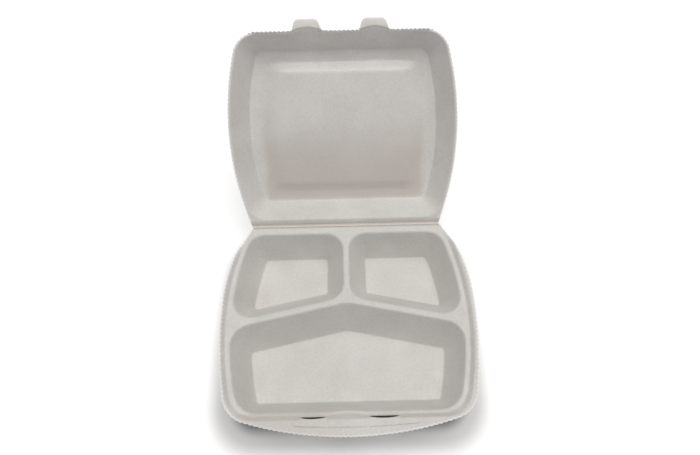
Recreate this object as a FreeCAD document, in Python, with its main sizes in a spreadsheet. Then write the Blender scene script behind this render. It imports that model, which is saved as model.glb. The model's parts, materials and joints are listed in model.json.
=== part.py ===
import FreeCAD, Part
import math
import os

import Sketcher

# A three-compartment takeout container: one sheet of white foam, thermoformed and cut out by a toothed
# die. The tray and the lid are the two leaves of that sheet, and they turn on its pressed hinge line.
#
# Each leaf is modelled in a frame of its own. The tray's has X along the hinge, -Y towards the front
# lip and Z = 0 at the top of the ledge round the compartments. The lid's is the same with the lid
# shut, and with its origin on the hinge axis. Their Placements set the tray down with its underside at
# Z = 0 and turn the lid to where it rests when open.

V = FreeCAD.Vector
UP = V(0, 0, 1)

SIZES = (
    # the outline shared by the ledge and the lid, measured from the hinge line and the centre line
    ("ledge_half_width", 112.5, "half of the ledge's width where it is widest"),
    ("side_radius", 277.0, "radius of the bowed sides"),
    ("side_station", 92.0, "distance of the ledge's widest place from the hinge"),
    ("ledge_front", 186.0, "distance of the ledge's front edge from the hinge"),
    ("ledge_corner", 24.0, "radius of the ledge's front corners"),
    # the raised flange outside the ledge
    ("step_rise", 5.5, "height of the flange above the ledge"),
    ("step_run", 2.8, "how far the step leans out over that height"),
    ("flange_width", 5.5, "how far the flange reaches beyond the ledge where the tray is widest"),
    ("flange_station", 82.0, "distance of the flange's widest place from the hinge"),
    ("flange_back_radius", 160.0, "radius of the flange's sides from the hinge to the widest place"),
    ("flange_front_radius", 400.0, "radius of the flange's sides from there to the front corners"),
    ("flange_corner", 28.0, "radius of the tray's front corners"),
    ("lip_overhang", 15.0, "how far the lip's foremost point lies in front of the ledge"),
    ("lip_radius", 326.0, "radius of the lip's curved edge"),
    ("trim_shift", 1.2, "how far the cut-out lies to one side of the formed shape"),
    # the foam sheet
    ("gauge", 2.5, "thickness of the ledge, the flange and the floors"),
    ("wall_gauge", 2.2, "thickness of the compartments' walls"),
    ("lid_gauge", 2.0, "thickness of the lid"),
    ("hinge_web", 0.9, "thickness of the sheet at the pressed hinge line"),
    ("hinge_press", 5.0, "length over which the sheet thins towards the hinge line"),
    ("hinge_gap", 0.3, "clearance between the two leaves at the hinge line and when shut"),
    ("blank_margin", 5.0, "how far the uncut sheet reaches beyond the leaves"),
    # the compartments
    ("compartment_depth", 41.5, "depth of the floors below the ledge"),
    ("ledge_margin", 4.2, "width of the ledge beside and in front of the compartments"),
    ("hinge_ledge", 10.0, "width of the ledge between the hinge and the small compartments"),
    ("centre_divider", 5.4, "width of the divider between the small compartments at its top"),
    ("cross_divider", 6.0, "width of the divider behind the large compartment at its top"),
    ("divider_apex", 84.5, "distance of the cross divider's front edge from the hinge, at the centre"),
    ("divider_angle", 12.1, "how far each half of the cross divider slants forward"),
    ("mouth_corner", 18.0, "radius of the compartments' corners at the top"),
    ("front_corner", 22.0, "radius of the large compartment's front corners at the top"),
    ("apex_round", 35.0, "radius of the large compartment's apex at the top"),
    ("floor_corner", 3.0, "radius of the compartments' corners at the floor"),
    ("side_run", 12.0, "how far the side walls lean in over their height"),
    ("front_run", 14.5, "how far the front wall leans in"),
    ("hinge_run", 9.4, "how far the walls nearest the hinge lean in"),
    ("centre_run", 17.6, "how far the centre divider's walls lean out"),
    ("small_cross_run", 23.4, "how far the cross divider's wall leans into a small compartment"),
    ("large_cross_run", 14.8, "how far the cross divider's wall leans into the large compartment"),
    ("edge_round", 1.6, "radius of the compartments' top edges"),
    ("floor_round", 1.4, "radius where the walls meet the floors"),
    # the lid
    ("lid_clearance", 0.7, "gap between the lid's rim and the step round the ledge"),
    ("rim_width", 2.6, "width of the lid's rim at the sides and the front"),
    ("hinge_rim", 7.0, "width of the lid's rim at the hinge"),
    ("lid_depth", 27.0, "depth of the lid's panel from its rim"),
    ("lid_side_run", 13.6, "how far the lid's side walls lean in"),
    ("lid_front_run", 11.4, "how far the lid's front wall leans in"),
    ("lid_hinge_run", 13.2, "how far the lid's wall nearest the hinge leans in"),
    ("lid_edge_round", 1.0, "radius of the lid's inner edge"),
    ("lid_mouth_corner", 21.0, "radius of the lid's corners at the rim"),
    ("panel_corner", 8.0, "radius of the panel's corners"),
    ("field_margin", 10.0, "width of the panel's border round its raised field"),
    ("field_slope", 8.0, "width of the slope between the border and the field"),
    ("field_rise", 1.6, "how far the field stands into the lid"),
    ("field_corner", 12.0, "radius of the field's corners"),
    ("open_angle", 133.0, "how far the lid is open at rest"),
    # the lock
    ("tab_centre", 31.0, "distance of each tab's middle from the centre line"),
    ("tab_root", 27.4, "width of a tab at its root"),
    ("tab_tip", 17.0, "width of a tab at its tip"),
    ("tab_reach", 10.6, "length of a tab in front of the lid's rim"),
    ("tab_round", 4.0, "radius of a tab's tip corners"),
    ("slit_clearance", 0.5, "gap beside and above a tab in its slit"),
    # the die's teeth
    ("tooth_pitch", 4.6, "distance from one tooth of the cut edge to the next"),
    ("tooth_depth", 0.9, "depth of the notches between the teeth"),
    ("tooth_margin", 9.0, "stretch left smooth beside the hinge and the tabs"),
)


class Cell:
    """A size from the sheet, or sums of such sizes: the value, and the expression that binds to it."""

    def __init__(self, value, text):
        self.value = value
        self.text = text

    def join(self, sign, other, value):
        text = other.text if isinstance(other, Cell) else repr(other)
        return Cell(value, f"({self.text} {sign} {text})")

    def __add__(self, other):
        return self.join("+", other, self.value + getattr(other, "value", other))

    def __sub__(self, other):
        return self.join("-", other, self.value - getattr(other, "value", other))

    def __mul__(self, other):
        return self.join("*", other, self.value * getattr(other, "value", other))

    def __truediv__(self, other):
        return self.join("/", other, self.value / getattr(other, "value", other))

    def __neg__(self):
        return Cell(-self.value, f"(0 - {self.text})")


NOTHING = Cell(0.0, "0")


class Sheet:
    """The spreadsheet of driving sizes; sheet.NAME is the Cell of that alias."""

    def __init__(self, doc):
        self.page = doc.addObject("Spreadsheet::Sheet", "Sizes")
        for row, (alias, value, meaning) in enumerate(SIZES, 1):
            self.page.set(f"A{row}", alias)
            self.page.set(f"B{row}", str(value))
            self.page.set(f"C{row}", meaning)
            self.page.setAlias(f"B{row}", alias)
        doc.recompute()

    def __getattr__(self, alias):
        return Cell(float(self.page.get(alias)), f"Sizes.{alias}")

    def tray_half_width(self):
        return self.ledge_half_width + self.flange_width

    def lip_reach(self):
        """The distance of the lip's foremost point from the hinge."""
        return self.ledge_front + self.lip_overhang


# Outlines. Each is a closed loop of stretches, run anticlockwise so that the inside lies to the left.


class Straight:
    """A straight stretch along a line, given by a point that it passes and its heading in degrees."""

    def __init__(self, middle, heading, passes=None):
        self.middle = middle
        self.passes = passes  # the Cells of the place in x and y that hold it, for a sketch
        self.heading = heading
        turn = math.radians(heading.value if isinstance(heading, Cell) else heading)
        self.along = V(math.cos(turn), math.sin(turn), 0)
        self.inward = V(-self.along.y, self.along.x, 0)

    def depth(self, point):
        return (point - self.middle).dot(self.inward), self.inward

    def edge(self, start, end):
        return Part.LineSegment(start, end)


class Bow:
    """A stretch along a circle that bows outwards, given by its centre (two Cells) and its radius."""

    def __init__(self, centre_x, centre_y, radius, middle_heading):
        self.centre_x = centre_x
        self.centre_y = centre_y
        self.radius = radius
        self.centre = V(centre_x.value, centre_y.value, 0)
        self.middle = self.centre + self.spoke(middle_heading) * radius.value

    @staticmethod
    def spoke(heading):
        turn = math.radians(heading)
        return V(math.cos(turn), math.sin(turn), 0)

    def depth(self, point):
        out = point - self.centre
        return self.radius.value - out.Length, -out.normalize()

    def edge(self, start, end):
        return arc(self.centre, start, end)


def arc(centre, start, end):
    """The shorter anticlockwise arc about a centre, from one point to another."""
    first = math.atan2(start.y - centre.y, start.x - centre.x)
    last = math.atan2(end.y - centre.y, end.x - centre.x)
    circle = Part.Circle(centre, UP, (start - centre).Length)
    return Part.ArcOfCircle(circle, first, last if last > first else last + 2 * math.pi)


def corner_centre(before, after, radius):
    """The point that lies a radius inside both stretches, found by Newton's method."""
    point = (before.middle + after.middle) * 0.5
    for _ in range(40):
        (depth_a, in_a), (depth_b, in_b) = before.depth(point), after.depth(point)
        miss_a, miss_b = radius - depth_a, radius - depth_b
        cross = in_a.x * in_b.y - in_a.y * in_b.x
        point += V(miss_a * in_b.y - miss_b * in_a.y, miss_b * in_a.x - miss_a * in_b.x, 0) / cross
    return point


def foot(stretch, centre, radius):
    """Where a corner's circle touches a stretch."""
    return centre - stretch.depth(centre)[1] * radius


def outline(stretches, radii):
    """The (stretch, start, end) of each stretch and the (centre, start, end) of the corner after it."""
    corners = []
    for i, radius in enumerate(radii):
        before, after = stretches[i], stretches[(i + 1) % len(stretches)]
        if isinstance(radius, FreeCAD.Vector):
            corners.append((None, radius, radius))
            continue
        size = getattr(radius, "value", radius)
        centre = corner_centre(before, after, size)
        corners.append((centre, foot(before, centre, size), foot(after, centre, size)))
    runs = [(run, corners[i - 1][2], corners[i][1]) for i, run in enumerate(stretches)]
    return runs, corners


class Leaf:
    """One leaf of the sheet, as a PartDesign body built from outlines at different heights."""

    def __init__(self, doc, sheet, name):
        self.doc = doc
        self.sheet = sheet
        self.body = doc.addObject("PartDesign::Body", name)

    def plane(self, role):
        return next(o for o in self.body.Origin.OriginFeatures if o.Role == role)

    def sketch(self, name, height=None, role="XY_Plane"):
        """An empty sketch on one of the body's own planes, lifted to a height."""
        sketch = self.body.newObject("Sketcher::SketchObject", name)
        sketch.AttachmentSupport = [(self.plane(role), "")]
        sketch.MapMode = "FlatFace"
        if height is not None:
            sketch.AttachmentOffset = FreeCAD.Placement(V(0, 0, height.value), FreeCAD.Rotation())
            sketch.setExpression("AttachmentOffset.Base.z", height.text)
        return sketch

    def loop(self, name, height, stretches, radii):
        """A sketch of a closed outline, held by its stretches' places and its corners' radii."""
        sketch = self.sketch(name, height)
        runs, corners = outline(stretches, radii)
        ids = [sketch.addGeometry(run.edge(start, end)) for run, start, end in runs]
        for stretch, geometry in zip(stretches, ids):
            if isinstance(stretch, Bow):
                hold_bow(sketch, geometry, stretch)
            else:
                hold_straight(sketch, geometry, stretch)
        for i, (radius, (centre, start, end)) in enumerate(zip(radii, corners)):
            following = ids[(i + 1) % len(ids)]
            if centre is None or (start - end).Length < 1e-9:
                sketch.addConstraint(Sketcher.Constraint("Coincident", ids[i], 2, following, 1))
                continue
            corner = sketch.addGeometry(arc(centre, start, end))
            sketch.addConstraint(Sketcher.Constraint("Tangent", ids[i], 2, corner, 1))
            sketch.addConstraint(Sketcher.Constraint("Tangent", corner, 2, following, 1))
            hold(sketch, radius, "Radius", corner)
        return sketch

    def loft(self, kind, name, first, last):
        """A PartDesign loft, additive or subtractive, between two outlines."""
        loft = self.body.newObject(f"PartDesign::{kind}Loft", name)
        loft.Profile = first
        loft.Sections = [last]
        loft.Ruled = True
        return self.settle(loft)

    def pad(self, kind, name, profile, length, **settings):
        """A PartDesign pad or pocket of a bound length."""
        pad = self.body.newObject(f"PartDesign::{kind}", name)
        pad.Profile = profile
        pad.Length = length.value
        pad.setExpression("Length", length.text)
        for key, value in settings.items():
            setattr(pad, key, value)
        return self.settle(pad)

    def mirror(self, name, feature):
        """The same feature on the other side of the centre line."""
        mirrored = self.body.newObject("PartDesign::Mirrored", name)
        mirrored.Originals = [feature]
        mirrored.MirrorPlane = (self.plane("YZ_Plane"), [""])
        self.body.Tip = mirrored
        return self.settle(mirrored)

    def soften(self, name, base, radius, chosen):
        """A fillet on the edges that a test picks out."""
        edges = [f"Edge{i}" for i, edge in enumerate(base.Shape.Edges, 1) if chosen(edge)]
        fillet = self.body.newObject("PartDesign::Fillet", name)
        fillet.Base = (base, edges)
        fillet.Radius = radius.value
        fillet.setExpression("Radius", radius.text)
        return self.settle(fillet)

    def settle(self, feature):
        """Recomputes, and stops if the feature failed or left the body's volume as it was."""
        before = self.body.Shape.Volume if not self.body.Shape.isNull() else 0.0
        self.doc.recompute()
        if "Invalid" in feature.State or feature.Shape.isNull() or not feature.Shape.isValid():
            raise RuntimeError(f"{feature.Label} failed")
        if abs(self.body.Shape.Volume - before) < 1e-3:
            raise RuntimeError(f"{feature.Label} changed nothing")
        return feature


def hold(sketch, cell, kind, *geometry):
    """A dimension bound to the sheet."""
    value = math.radians(cell.value) if kind == "Angle" else cell.value
    index = sketch.addConstraint(Sketcher.Constraint(kind, *geometry, value))
    sketch.setExpression(f"Constraints[{index}]", cell.text)


def hold_bow(sketch, geometry, bow):
    hold(sketch, bow.centre_x, "DistanceX", -1, 1, geometry, 3)
    hold(sketch, bow.centre_y, "DistanceY", -1, 1, geometry, 3)
    hold(sketch, bow.radius, "Radius", geometry)


def hold_straight(sketch, geometry, straight):
    place_x, place_y = straight.passes
    if isinstance(straight.heading, Cell):
        through = sketch.addGeometry(Part.Point(V(0, place_y.value, 0)), True)
        sketch.addConstraint(Sketcher.Constraint("PointOnObject", through, 1, -2))
        hold(sketch, place_y, "DistanceY", -1, 1, through, 1)
        sketch.addConstraint(Sketcher.Constraint("PointOnObject", through, 1, geometry))
        hold(sketch, straight.heading, "Angle", geometry)
    elif straight.heading in (0, 180):
        sketch.addConstraint(Sketcher.Constraint("Horizontal", geometry))
        hold(sketch, place_y, "DistanceY", -1, 1, geometry, 1)
    else:
        sketch.addConstraint(Sketcher.Constraint("Vertical", geometry))
        hold(sketch, place_x, "DistanceX", -1, 1, geometry, 1)


# The stretches that the outlines share.


def side(sheet, grow, hand=1):
    """A bowed side of the ledge, moved out by grow; hand is 1 on the right and -1 on the left."""
    centre_x = sheet.ledge_half_width - sheet.side_radius
    if hand < 0:
        centre_x = -centre_x
    return Bow(centre_x, -sheet.side_station, grow + sheet.side_radius, 0 if hand > 0 else 180)


def across(distance, heading, near=0.0):
    """A stretch parallel to the hinge, at a distance in front of it."""
    return Straight(V(near, -distance.value, 0), heading, (None, -distance))


def along(offset, heading, near=0.0):
    """A stretch at right angles to the hinge, at an offset from the centre line."""
    return Straight(V(offset.value, near, 0), heading, (offset, None))


def slant(sheet, distance, heading, reach):
    """Half of the cross divider's edge: it passes the centre line at a distance from the hinge."""
    lean = math.tan(math.radians(sheet.divider_angle.value))
    middle = V(reach, -distance.value - abs(reach) * lean, 0)
    return Straight(middle, heading, (None, -distance))


# The outlines. The ones that lean in are drawn at the mouth with lean 0 and at the floor with lean 1.


def box_loop(leaf, name, height, left, right, back, front):
    """A rectangle."""
    middle_x = (left.value + right.value) / 2
    middle_y = -(back.value + front.value) / 2
    stretches = [
        across(front, 0, middle_x),
        along(right, 90, middle_y),
        across(back, 180, middle_x),
        along(left, 270, middle_y),
    ]
    return leaf.loop(name, height, stretches, [0, 0, 0, 0])


def ledge_loop(leaf, name, height, grow):
    """The ledge's outline, moved out by grow, and left open behind the hinge."""
    sheet = leaf.sheet
    front = grow + sheet.ledge_front
    corner = grow + sheet.ledge_corner
    stretches = [
        across(front, 0),
        side(sheet, grow),
        across(-sheet.blank_margin, 180),
        side(sheet, grow, -1),
    ]
    return leaf.loop(name, height, stretches, [corner, 0, 0, corner])


def small_loop(leaf, name, height, grow, corner, lean):
    """The right-hand small compartment's outline, moved out by grow."""
    sheet = leaf.sheet
    outer = grow - sheet.ledge_margin - sheet.side_run * lean
    back = sheet.hinge_ledge + sheet.hinge_run * lean - grow
    inner = sheet.centre_divider / 2 + sheet.centre_run * lean - grow
    front = sheet.divider_apex - sheet.cross_divider - sheet.small_cross_run * lean + grow
    middle = sheet.ledge_half_width.value / 2
    stretches = [
        slant(sheet, front, -sheet.divider_angle, middle),
        side(sheet, outer),
        across(back, 180, middle),
        along(inner, 270, -(back.value + front.value) / 2),
    ]
    return leaf.loop(name, height, stretches, [corner] * 4)


def large_loop(leaf, name, height, grow, front_corner, corner, lean):
    """The large compartment's outline, with its slanted back in two halves, moved out by grow."""
    sheet = leaf.sheet
    outer = grow - sheet.ledge_margin - sheet.side_run * lean
    back = sheet.divider_apex + sheet.large_cross_run * lean - grow
    front = sheet.ledge_front - sheet.ledge_margin - sheet.front_run * lean + grow
    middle = sheet.ledge_half_width.value / 2
    stretches = [
        across(front, 0),
        side(sheet, outer),
        slant(sheet, back, -sheet.divider_angle + 180, middle),
        slant(sheet, back, sheet.divider_angle - 180, -middle),
        side(sheet, outer, -1),
    ]
    apex = grow + sheet.apex_round
    return leaf.loop(name, height, stretches, [front_corner, corner, apex, corner, front_corner])


def lid_loop(leaf, name, height, inset, corner, lean):
    """The outline of the lid's hollow, moved in by inset."""
    sheet = leaf.sheet
    edge = sheet.lid_clearance + sheet.rim_width + inset
    outer = -edge - sheet.lid_side_run * lean
    front = sheet.ledge_front - edge - sheet.lid_front_run * lean
    back = sheet.hinge_rim + sheet.lid_hinge_run * lean + inset
    stretches = [across(front, 0), side(sheet, outer), across(back, 180), side(sheet, outer, -1)]
    return leaf.loop(name, height, stretches, [corner] * 4)


# The two leaves.


def press_hinge(leaf, level, thickness, outward):
    """Thins a leaf on its outer face towards the hinge line; outward is -1 below it and 1 above."""
    sheet = leaf.sheet
    sketch = leaf.sketch("hinge_section", role="YZ_Plane")
    web = level + sheet.hinge_web * outward
    face = level + thickness * outward
    beyond = sheet.blank_margin
    corners = [(-sheet.hinge_press, face), (beyond, web), (beyond, face)]
    points = [V(y.value, z.value, 0) for y, z in corners]
    for start, end in zip(points, points[1:] + points[:1]):
        sketch.addGeometry(Part.LineSegment(start, end))
    for i, (y, z) in enumerate(corners):
        sketch.addConstraint(Sketcher.Constraint("Coincident", i, 2, (i + 1) % 3, 1))
        hold(sketch, y, "DistanceX", -1, 1, i, 1)
        hold(sketch, z, "DistanceY", -1, 1, i, 1)
    width = (sheet.tray_half_width() + sheet.blank_margin) * 2
    return leaf.pad("Pocket", "hinge_press", sketch, width, Midplane=True)


def rim_test(sheet, height, back):
    """Picks out the edges that lie at a height inside the ledge's outline, clear of the hinge."""

    def chosen(edge):
        box = edge.BoundBox
        if abs(box.ZMin - height.value) > 1e-3 or abs(box.ZMax - height.value) > 1e-3:
            return False
        middle = edge.valueAt((edge.FirstParameter + edge.LastParameter) / 2)
        inside = min(side(sheet, NOTHING, hand).depth(middle)[0] for hand in (1, -1))
        return inside > 1 and back.value / 2 < -middle.y < sheet.ledge_front.value - 1

    return chosen


def tray_form(doc, sheet):
    """The tray as it leaves the mould, before the die cuts it out."""
    leaf = Leaf(doc, sheet, "tray_form")
    ledge = NOTHING
    below = -sheet.gauge
    floor = -sheet.compartment_depth
    under = floor - sheet.gauge
    wall = sheet.wall_gauge

    half_width = sheet.tray_half_width() + sheet.blank_margin
    reach = sheet.lip_reach() + sheet.blank_margin
    level = sheet.step_rise - sheet.gauge
    sheet_edge = box_loop(leaf, "flange_edge", level, -half_width, half_width, -sheet.blank_margin, reach)
    leaf.pad("Pad", "flange", sheet_edge, sheet.gauge)
    foot_edge = ledge_loop(leaf, "step_foot", below, sheet.gauge)
    head_edge = ledge_loop(leaf, "step_head", sheet.step_rise, sheet.step_run + sheet.gauge)
    leaf.loft("Additive", "step", foot_edge, head_edge)

    corner = sheet.mouth_corner + wall
    front_corner = sheet.front_corner + wall
    base_corner = sheet.floor_corner + wall
    small_top = small_loop(leaf, "small_tub_top", ledge, wall, corner, 0)
    small_base = small_loop(leaf, "small_tub_base", under, wall, base_corner, 1)
    small_tub = leaf.loft("Additive", "small_tub", small_top, small_base)
    leaf.mirror("other_small_tub", small_tub)
    large_top = large_loop(leaf, "large_tub_top", ledge, wall, front_corner, corner, 0)
    large_base = large_loop(leaf, "large_tub_base", under, wall, base_corner, base_corner, 1)
    leaf.loft("Additive", "large_tub", large_top, large_base)

    recess_foot = ledge_loop(leaf, "recess_foot", ledge, NOTHING)
    recess_head = ledge_loop(leaf, "recess_head", sheet.step_rise, sheet.step_run)
    leaf.loft("Subtractive", "recess", recess_foot, recess_head)
    small_mouth = small_loop(leaf, "small_mouth", ledge, NOTHING, sheet.mouth_corner, 0)
    small_floor = small_loop(leaf, "small_floor", floor, NOTHING, sheet.floor_corner, 1)
    small_hollow = leaf.loft("Subtractive", "small_hollow", small_mouth, small_floor)
    leaf.mirror("other_small_hollow", small_hollow)
    large_corners = (sheet.front_corner, sheet.mouth_corner)
    large_mouth = large_loop(leaf, "large_mouth", ledge, NOTHING, *large_corners, 0)
    large_floor = large_loop(leaf, "large_floor", floor, NOTHING, sheet.floor_corner, sheet.floor_corner, 1)
    leaf.loft("Subtractive", "large_hollow", large_mouth, large_floor)

    slit_height = sheet.hinge_gap + sheet.lid_gauge + sheet.slit_clearance
    slit_half_width = sheet.tab_root / 2 + sheet.slit_clearance
    slit = box_loop(
        leaf,
        "slit_section",
        slit_height,
        sheet.tab_centre - slit_half_width,
        sheet.tab_centre + slit_half_width,
        sheet.ledge_front - sheet.gauge,
        sheet.ledge_front + sheet.step_run + sheet.gauge * 2,
    )
    slit_cut = leaf.pad("Pocket", "slit", slit, slit_height)
    leaf.mirror("other_slit", slit_cut)
    pressed = press_hinge(leaf, ledge, sheet.gauge, -1)
    mouths = leaf.soften("mouth_round", pressed, sheet.edge_round, rim_test(sheet, ledge, sheet.hinge_ledge))
    leaf.soften("floor_round", mouths, sheet.floor_round, rim_test(sheet, floor, sheet.hinge_ledge))
    return leaf.body


def lid_form(doc, sheet):
    """The lid as it leaves the mould, drawn shut, before the die cuts it out."""
    leaf = Leaf(doc, sheet, "lid_form")
    rim = sheet.hinge_gap / 2
    ceiling = rim + sheet.lid_depth
    top = ceiling + sheet.lid_gauge
    slope = sheet.field_margin + sheet.field_slope

    half_width = sheet.ledge_half_width + sheet.blank_margin
    reach = sheet.ledge_front + sheet.tab_reach + sheet.blank_margin
    sheet_edge = box_loop(leaf, "rim_edge", rim, -half_width, half_width, -sheet.blank_margin, reach)
    leaf.pad("Pad", "rim", sheet_edge, sheet.lid_gauge)
    dome_foot = lid_loop(leaf, "dome_foot", rim, -sheet.lid_gauge, sheet.lid_mouth_corner, 0)
    dome_head = lid_loop(leaf, "dome_head", top, -sheet.lid_gauge, sheet.panel_corner, 1)
    leaf.loft("Additive", "dome", dome_foot, dome_head)
    hollow_foot = lid_loop(leaf, "hollow_foot", rim, NOTHING, sheet.lid_mouth_corner, 0)
    hollow_head = lid_loop(leaf, "hollow_head", ceiling, NOTHING, sheet.panel_corner, 1)
    leaf.loft("Subtractive", "hollow", hollow_foot, hollow_head)
    field_foot = lid_loop(leaf, "field_foot", ceiling, sheet.field_margin, sheet.field_corner, 1)
    field_head = lid_loop(leaf, "field_head", ceiling - sheet.field_rise, slope, sheet.field_corner, 1)
    leaf.loft("Additive", "field", field_foot, field_head)
    dent_foot = lid_loop(leaf, "dent_foot", top, sheet.field_margin, sheet.field_corner, 1)
    dent_head = lid_loop(leaf, "dent_head", top - sheet.field_rise, slope, sheet.field_corner, 1)
    leaf.loft("Subtractive", "dent", dent_foot, dent_head)
    pressed = press_hinge(leaf, rim, sheet.lid_gauge, 1)
    leaf.soften("mouth_round", pressed, sheet.lid_edge_round, rim_test(sheet, rim, sheet.hinge_rim))
    return leaf.body


# The die that cuts the leaves out. Its long edges are toothed, and its corners are smooth.


def toothed(sheet, stretch, start, end, before, after):
    """The edges of a toothed stretch, left smooth over a length at each end."""
    whole = stretch.edge(start, end).toShape()
    length = whole.Length
    marks = whole.discretize(Number=max(3, round(length) + 1))
    first = marks[round(before / length * (len(marks) - 1))]
    last = marks[-1 - round(after / length * (len(marks) - 1))]
    middle = stretch.edge(first, last).toShape()
    teeth = max(1, round(middle.Length / sheet.tooth_pitch.value))
    points = middle.discretize(Number=2 * teeth + 1)
    for i in range(1, len(points), 2):
        points[i] = points[i] + stretch.depth(points[i])[1] * sheet.tooth_depth.value
    edges = Part.makePolygon(points).Edges
    if before:
        edges.insert(0, stretch.edge(start, points[0]).toShape())
    if after:
        edges.append(stretch.edge(points[-1], end).toShape())
    return edges


def die(doc, sheet, name, stretches, corners, smooth):
    """The solid that a leaf is cut to; smooth gives each stretch's smooth lengths, or None if plain."""
    runs, rounds = outline(stretches, corners)
    edges = []
    for (stretch, start, end), (centre, turn, out), plain in zip(runs, rounds, smooth):
        if plain is None:
            edges.append(stretch.edge(start, end).toShape())
        else:
            edges += toothed(sheet, stretch, start, end, *plain)
        if centre is not None and (turn - out).Length > 1e-9:
            edges.append(arc(centre, turn, out).toShape())
    depth = sheet.compartment_depth.value * 2
    face = Part.Face(Part.Wire(edges))
    solid = doc.addObject("Part::Feature", name)
    solid.Shape = face.extrude(V(0, 0, 2 * depth))
    solid.Placement = FreeCAD.Placement(V(0, 0, -depth), FreeCAD.Rotation())
    return solid


def tray_die(doc, sheet):
    shift = sheet.trim_shift
    station = -sheet.flange_station
    reach = sheet.tray_half_width()
    margin = sheet.tooth_margin.value

    def flank(radius, hand, heading):
        return Bow((reach - radius) * hand + shift, station, radius, heading)

    front_radius, back_radius = sheet.flange_front_radius, sheet.flange_back_radius
    stretches = [
        Bow(shift, sheet.lip_radius - sheet.lip_reach(), sheet.lip_radius, 270),
        flank(front_radius, 1, -10),
        flank(back_radius, 1, 10),
        across(sheet.hinge_gap / 2, 180),
        flank(back_radius, -1, 170),
        flank(front_radius, -1, 190),
    ]
    widest = [V(shift.value + hand * reach.value, station.value, 0) for hand in (1, -1)]
    corners = [sheet.flange_corner, widest[0], 0, 0, widest[1], sheet.flange_corner]
    smooth = [(0, 0), (0, 0), (0, margin), None, (margin, 0), (0, 0)]
    return die(doc, sheet, "tray_die", stretches, corners, smooth)


def lid_die(doc, sheet):
    edge = sheet.ledge_front - sheet.lid_clearance
    front, tip = -edge.value, -edge.value - sheet.tab_reach.value
    margin = sheet.tooth_margin.value
    near = sheet.tab_round.value / 2
    stretches = []
    corners = []
    smooth = []
    for middle in (-sheet.tab_centre.value, sheet.tab_centre.value):
        roots = [V(middle + hand * sheet.tab_root.value / 2, front, 0) for hand in (-1, 1)]
        tips = [V(middle + hand * sheet.tab_tip.value / 2, tip, 0) for hand in (-1, 1)]
        stretches.append(across(edge, 0, middle - sheet.tab_centre.value))
        for start, end in ((roots[0], tips[0]), (tips[0], tips[1]), (tips[1], roots[1])):
            heading = math.degrees(math.atan2(end.y - start.y, end.x - start.x))
            stretches.append(Straight((start + end) / 2, heading))
        corners += [roots[0], sheet.tab_round, sheet.tab_round, roots[1]]
        smooth += [(near, near), None, None, None]
    stretches.append(across(edge, 0, sheet.ledge_half_width.value / 2))
    stretches.append(side(sheet, -sheet.lid_clearance))
    stretches.append(across(sheet.hinge_gap / 2, 180))
    stretches.append(side(sheet, -sheet.lid_clearance, -1))
    corner = sheet.ledge_corner - sheet.lid_clearance
    corners += [corner, 0, 0, corner]
    smooth += [(near, 0), (0, margin), None, (margin, 0)]
    return die(doc, sheet, "lid_die", stretches, corners, smooth)


def cut_out(doc, name, form, tool):
    """A leaf: the formed sheet, kept inside its die."""
    leaf = doc.addObject("Part::Common", name)
    leaf.Label = name
    leaf.Base = form
    leaf.Tool = tool
    return leaf


def main():
    doc = FreeCAD.newDocument("takeout_container")
    sheet = Sheet(doc)
    tray = cut_out(doc, "tray", tray_form(doc, sheet), tray_die(doc, sheet))
    lid = cut_out(doc, "lid", lid_form(doc, sheet), lid_die(doc, sheet))

    # the origin is under the tray's middle, half way from the hinge to the lip
    hinge_y = sheet.lip_reach() / 2
    ledge_z = sheet.compartment_depth + sheet.gauge
    axis_z = ledge_z + sheet.hinge_gap / 2
    tray.Placement = FreeCAD.Placement(V(0, hinge_y.value, ledge_z.value), FreeCAD.Rotation())
    swing = FreeCAD.Rotation(V(1, 0, 0), -sheet.open_angle.value)
    lid.Placement = FreeCAD.Placement(V(0, hinge_y.value, axis_z.value), swing)
    for leaf, height in ((tray, ledge_z), (lid, axis_z)):
        leaf.setExpression("Placement.Base.y", hinge_y.text)
        leaf.setExpression("Placement.Base.z", height.text)
    doc.recompute()

    for thing in doc.Objects:
        if "Invalid" in thing.State or "Error" in thing.State:
            raise RuntimeError(f"{thing.Label} failed")
    os.makedirs("parts", exist_ok=True)
    for leaf in (tray, lid):
        if leaf.Shape.isNull() or not leaf.Shape.isValid() or len(leaf.Shape.Solids) != 1:
            raise RuntimeError(f"{leaf.Label} is not one valid solid")
        leaf.Shape.exportStep(f"parts/{leaf.Label}.step")
        box = leaf.Shape.optimalBoundingBox()
        print(f"{leaf.Label}: {leaf.Shape.Volume / 1000:.1f} cm3, {box.XLength:.1f} x {box.YLength:.1f} x "
              f"{box.ZLength:.1f} mm, {len(leaf.Shape.Faces)} faces")


main()
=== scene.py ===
# %% [markdown]
# # A three-compartment takeout container
# The container is one sheet of white polystyrene foam. It is heated, drawn into a mould and cut
# out by a toothed die. The tray and the lid are two halves of that sheet, and a pressed line is
# their hinge. The first cell loads the CAD model. It is the fixed frame: every new piece is made
# around it, in metres, and takes its place and its motion from it.

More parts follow.
